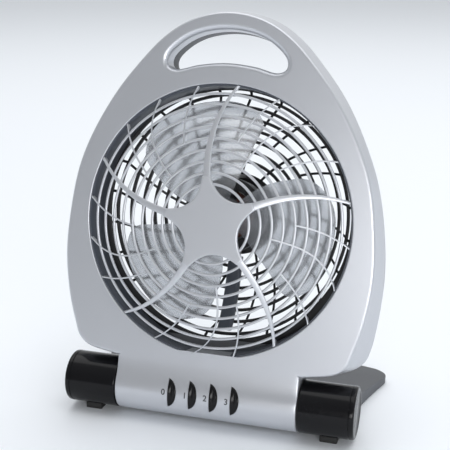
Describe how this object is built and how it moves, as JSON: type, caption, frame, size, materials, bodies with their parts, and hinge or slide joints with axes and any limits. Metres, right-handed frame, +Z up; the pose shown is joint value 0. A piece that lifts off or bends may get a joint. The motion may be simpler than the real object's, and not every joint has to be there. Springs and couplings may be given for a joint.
{
  "type": "box fan",
  "caption": "Silver tabletop box fan with a domed ring grille and carrying slot, tilting between the drums of a dark low stand.",
  "frame": {"origin": "bottom centre of the whole part's bounding box, on the ground plane", "axes": "+Z up, +Y from the front grille to the back, +X to the viewer's right seen from the front"},
  "size_m": [0.2818, 0.1665, 0.344],
  "materials": {
    "silver_plastic": "satin metallic silver paint on moulded plastic",
    "graphite_plastic": "fine matt",
    "black_gloss_plastic": "gloss",
    "black_plastic": "satin",
    "smoke_blades": "translucent smoky grey, satin",
    "steel": "zinc plated",
    "lamination_steel": "stacked laminations",
    "varnished_copper": "wound wire under red-brown varnish",
    "black_rubber": "matt"
  },
  "bodies": {
    "stand": {"left_drum": "black_gloss_plastic", "left_drum_cap": "black_gloss_plastic", "left_pivot_pin": "steel", "left_pivot_clip": "steel", "left_front_pad": "black_rubber", "left_stand_screw": "steel", "left_rear_pad": "black_rubber", "right_drum": "black_gloss_plastic", "right_drum_cap": "black_gloss_plastic", "right_pivot_pin": "steel", "right_pivot_clip": "steel", "right_front_pad": "black_rubber", "right_stand_screw": "steel", "right_rear_pad": "black_rubber", "stand_plate": "graphite_plastic"},
    "housing": {"front_housing": "silver_plastic", "rear_housing": "graphite_plastic", "front_grille": "silver_plastic", "rear_grille": "black_plastic", "wire_channel": "black_plastic", "cord_inlet": "black_rubber", "housing_screw_1": "steel", "housing_screw_2": "steel", "housing_screw_3": "steel", "housing_screw_4": "steel", "motor_stator": "lamination_steel", "motor_coil_front": "varnished_copper", "motor_coil_rear": "varnished_copper", "motor_front_bracket": "black_plastic", "motor_rear_bracket": "black_plastic", "front_bearing": "steel", "rear_bearing": "steel", "switch_block": "black_plastic", "key_spring_0": "steel", "key_spring_1": "steel", "key_spring_2": "steel", "key_spring_3": "steel"},
    "impeller": {"impeller": "smoke_blades", "impeller_nut": "black_plastic", "motor_shaft": "steel", "motor_rotor": "lamination_steel"},
    "key_0": {"key_0": "black_gloss_plastic"},
    "key_1": {"key_1": "black_gloss_plastic"},
    "key_2": {"key_2": "black_gloss_plastic"},
    "key_3": {"key_3": "black_gloss_plastic"}
  },
  "joints": [
    {"name": "housing_tilt", "type": "hinge", "parent": "stand", "child": "housing", "pos_m": [0, -0.0597, 0.0255], "axis": [1, 0, 0], "range_deg": [-25, 13]},
    {"name": "impeller_spin", "type": "hinge", "parent": "housing", "child": "impeller", "pos_m": [0, -0.0221, 0.17455], "axis": [0, 0.9732, -0.23], "continuous": true},
    {"name": "key_0_press", "type": "slide", "parent": "housing", "child": "key_0", "axis": [0, 0.9732, -0.23], "range_m": [0, 0.003], "stiffness_N_per_m": 300, "springref_m": -0.003},
    {"name": "key_1_press", "type": "slide", "parent": "housing", "child": "key_1", "axis": [0, 0.9732, -0.23], "range_m": [0, 0.003], "stiffness_N_per_m": 300, "springref_m": -0.003},
    {"name": "key_2_press", "type": "slide", "parent": "housing", "child": "key_2", "axis": [0, 0.9732, -0.23], "range_m": [0, 0.003], "stiffness_N_per_m": 300, "springref_m": -0.003},
    {"name": "key_3_press", "type": "slide", "parent": "housing", "child": "key_3", "axis": [0, 0.9732, -0.23], "range_m": [0, 0.003], "stiffness_N_per_m": 300, "springref_m": -0.003}
  ]
}
